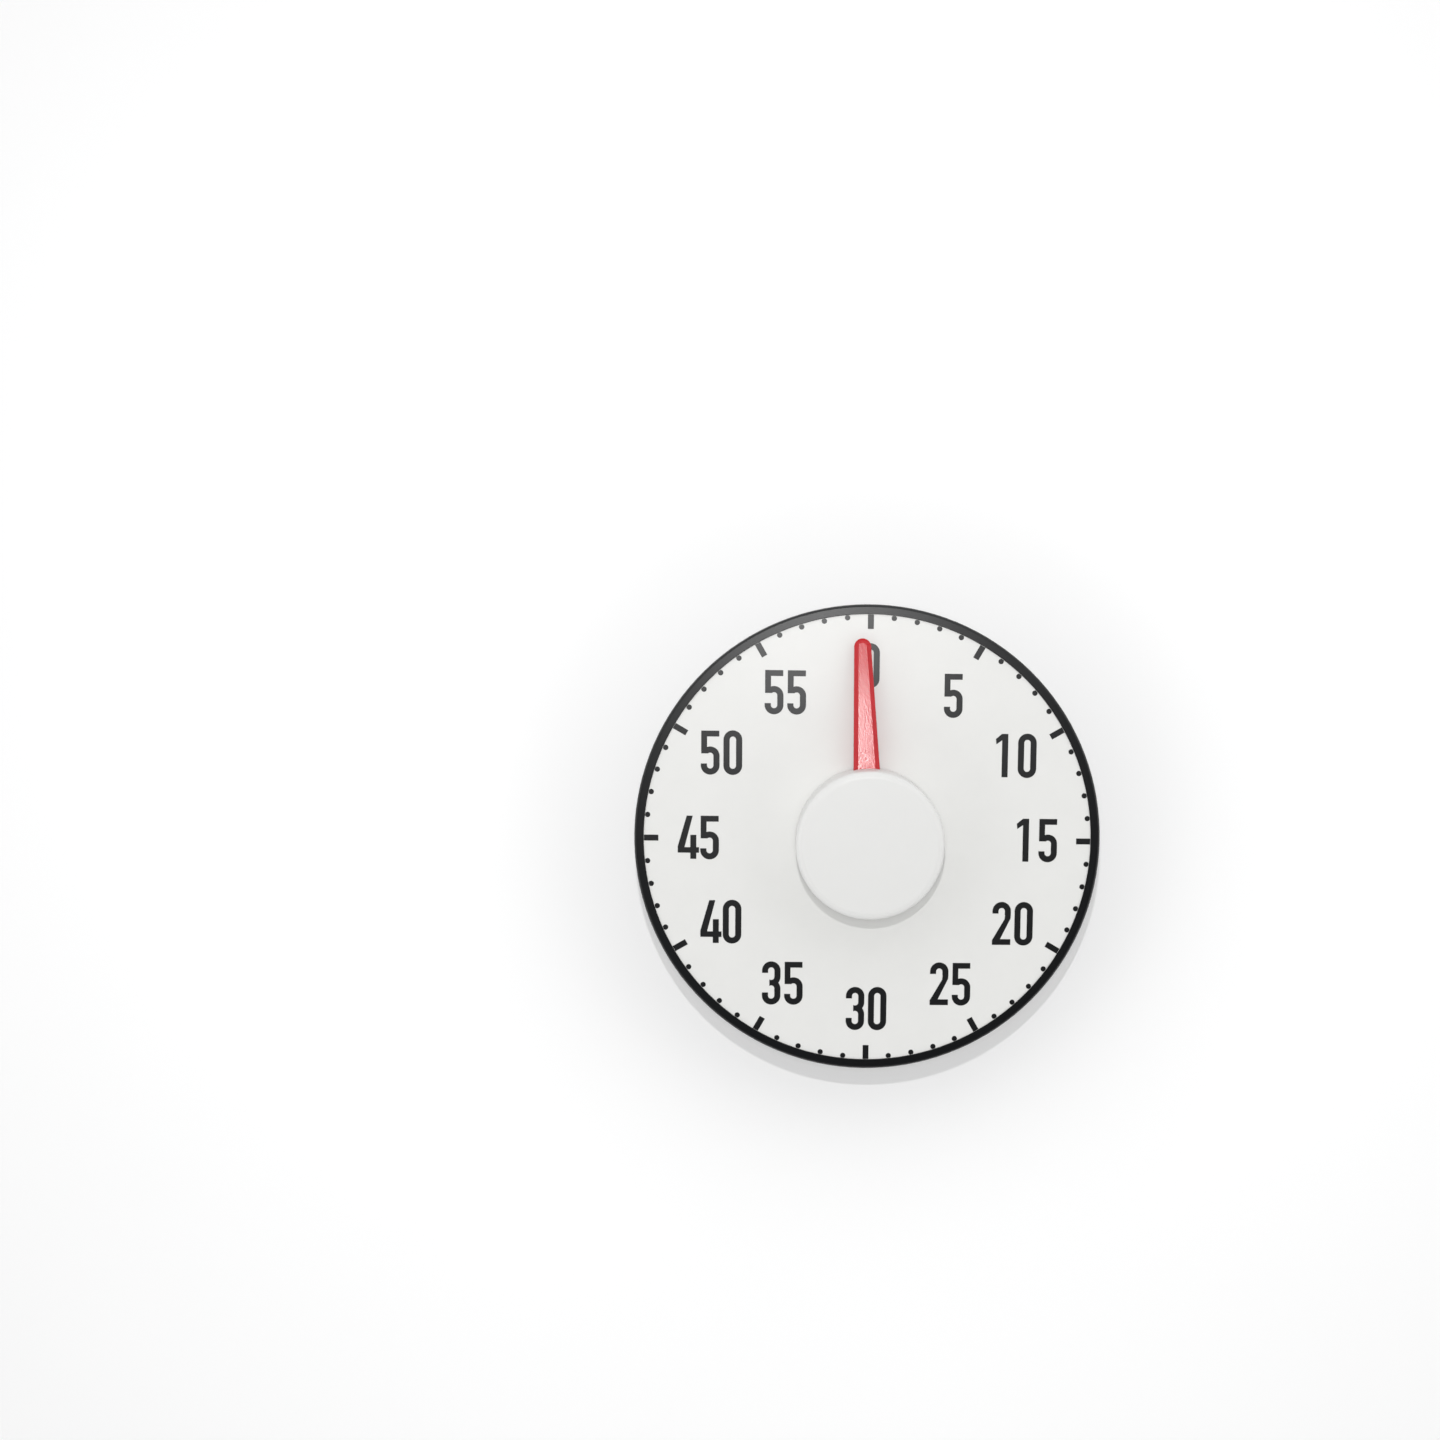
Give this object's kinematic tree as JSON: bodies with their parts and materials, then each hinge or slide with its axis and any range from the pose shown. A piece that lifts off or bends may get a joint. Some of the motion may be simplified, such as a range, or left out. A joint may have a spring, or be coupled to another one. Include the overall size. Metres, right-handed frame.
{
  "type": "mechanical kitchen timer",
  "caption": "Round wind-up one-hour kitchen timer with a white printed dial, plain knob, red pointer, black case, geared clockwork and a bell inside.",
  "frame": {"origin": "centre of the flat back, which is the lowest face when the timer lies on its back", "axes": "+Z out of the dial, +Y towards the dial's zero mark, +X towards the 15-minute mark"},
  "size_m": [0.0806, 0.0806, 0.0356],
  "materials": {
    "case_black": "fine satin moulded ABS",
    "cover_black": "fine matt moulded ABS",
    "dial_white": "smooth satin ABS",
    "knob_white": "smooth semi-gloss ABS",
    "pointer_red": "semi-gloss red ABS with a finely textured top",
    "print_black": "pad-printed ink",
    "plate_steel": "zinc-plated sheet",
    "arbor_steel": "turned steel",
    "wheel_brass": "stamped brass sheet",
    "spring_steel": "blued spring steel",
    "bell_steel": "nickel-plated pressed steel",
    "screw_zinc": "zinc-plated",
    "magnet_nickel": "nickel-plated magnet"
  },
  "bodies": {
    "case": {"case_ring": "case_black", "back_cover": "cover_black", "back_screws": "screw_zinc", "magnets": "magnet_nickel", "dial": "dial_white", "dial_marks": "print_black", "front_plate": "plate_steel", "rear_plate": "plate_steel", "pillars": "arbor_steel", "pillar_screws": "screw_zinc", "dial_screws": "screw_zinc", "spring_post": "arbor_steel", "mainspring": "spring_steel", "pivot_screws": "wheel_brass", "hairspring_stud": "wheel_brass", "lever_stud": "arbor_steel", "lever_spring": "spring_steel", "bell": "bell_steel", "bell_post": "arbor_steel", "bell_screw": "screw_zinc"},
    "setting_knob": {"knob": "knob_white", "pointer": "pointer_red", "knob_clip": "spring_steel", "main_arbor": "arbor_steel", "ratchet_wheel": "plate_steel", "wheel_collar": "wheel_brass", "alarm_cam": "plate_steel", "stop_pin": "arbor_steel"},
    "great_wheel_set": {"great_wheel": "wheel_brass", "click_stud": "arbor_steel", "click_spring": "spring_steel"},
    "click_pawl": {"click": "plate_steel"},
    "second_set": {"second_pinion": "arbor_steel", "second_wheel": "wheel_brass", "strike_wheel": "plate_steel"},
    "third_set": {"third_pinion": "arbor_steel", "third_wheel": "wheel_brass"},
    "escape_set": {"escape_pinion": "arbor_steel", "escape_wheel": "wheel_brass"},
    "pallet_set": {"pallet_staff": "arbor_steel", "pallet_lever": "plate_steel", "pallet_pins": "arbor_steel"},
    "balance_set": {"balance_staff": "arbor_steel", "balance_wheel": "wheel_brass", "roller": "arbor_steel", "hairspring_collet": "wheel_brass", "hairspring": "spring_steel"},
    "alarm_lever_set": {"alarm_lever": "plate_steel"},
    "hammer_set": {"hammer": "plate_steel", "hammer_arbor": "arbor_steel", "hammer_verge": "plate_steel"}
  },
  "joints": [
    {"name": "knob_turn", "type": "hinge", "parent": "case", "child": "setting_knob", "pos_m": [0, 0, 0.02415], "axis": [0, 0, -1], "range_deg": [0, 352], "deforming": ["mainspring"]},
    {"name": "great_wheel_turn", "type": "hinge", "parent": "case", "child": "great_wheel_set", "pos_m": [0, 0, 0.0177], "axis": [0, 0, -1], "range_deg": [0, 352]},
    {"name": "click_lift", "type": "hinge", "parent": "great_wheel_set", "child": "click_pawl", "pos_m": [0.00553, 0.00659, 0.0186], "axis": [0, 0, 1], "range_deg": [0, 12], "stiffness_Nm_per_rad": 0.00001, "deforming": ["click_spring"]},
    {"name": "second_arbor_turn", "type": "hinge", "parent": "case", "child": "second_set", "pos_m": [-0.01226, 0.01028, 0.0177], "axis": [0, 0, -1], "continuous": true},
    {"name": "third_arbor_turn", "type": "hinge", "parent": "case", "child": "third_set", "pos_m": [-0.018, -0.00014, 0.0162], "axis": [0, 0, -1], "continuous": true},
    {"name": "escape_arbor_turn", "type": "hinge", "parent": "case", "child": "escape_set", "pos_m": [-0.01639, -0.0096, 0.0134], "axis": [0, 0, -1], "continuous": true},
    {"name": "pallet_rock", "type": "hinge", "parent": "case", "child": "pallet_set", "pos_m": [-0.01147, -0.01577, 0.0123], "axis": [0, 0, 1], "range_deg": [-3.5, 3.5]},
    {"name": "balance_swing", "type": "hinge", "parent": "case", "child": "balance_set", "pos_m": [-0.00464, -0.02099, 0.01095], "axis": [0, 0, 1], "range_deg": [-150, 150], "stiffness_Nm_per_rad": 0.0000065, "deforming": ["hairspring"]},
    {"name": "alarm_drop", "type": "hinge", "parent": "case", "child": "alarm_lever_set", "pos_m": [0.01, 0.0098, 0.0208], "axis": [0, 0, 1], "range_deg": [0, 7], "deforming": ["lever_spring"]},
    {"name": "hammer_swing", "type": "hinge", "parent": "case", "child": "hammer_set", "pos_m": [-0.00274, 0.01728, 0.0126], "axis": [0, 0, -1], "range_deg": [0, 4.5]}
  ],
  "couplings": [
    {"joint": "great_wheel_turn", "follows": "knob_turn", "ratio": 1},
    {"joint": "second_arbor_turn", "follows": "knob_turn", "ratio": -9},
    {"joint": "third_arbor_turn", "follows": "knob_turn", "ratio": 67.5},
    {"joint": "escape_arbor_turn", "follows": "knob_turn", "ratio": -472.5},
    {"joint": "hammer_swing", "follows": "alarm_drop", "ratio": 0.64286}
  ]
}
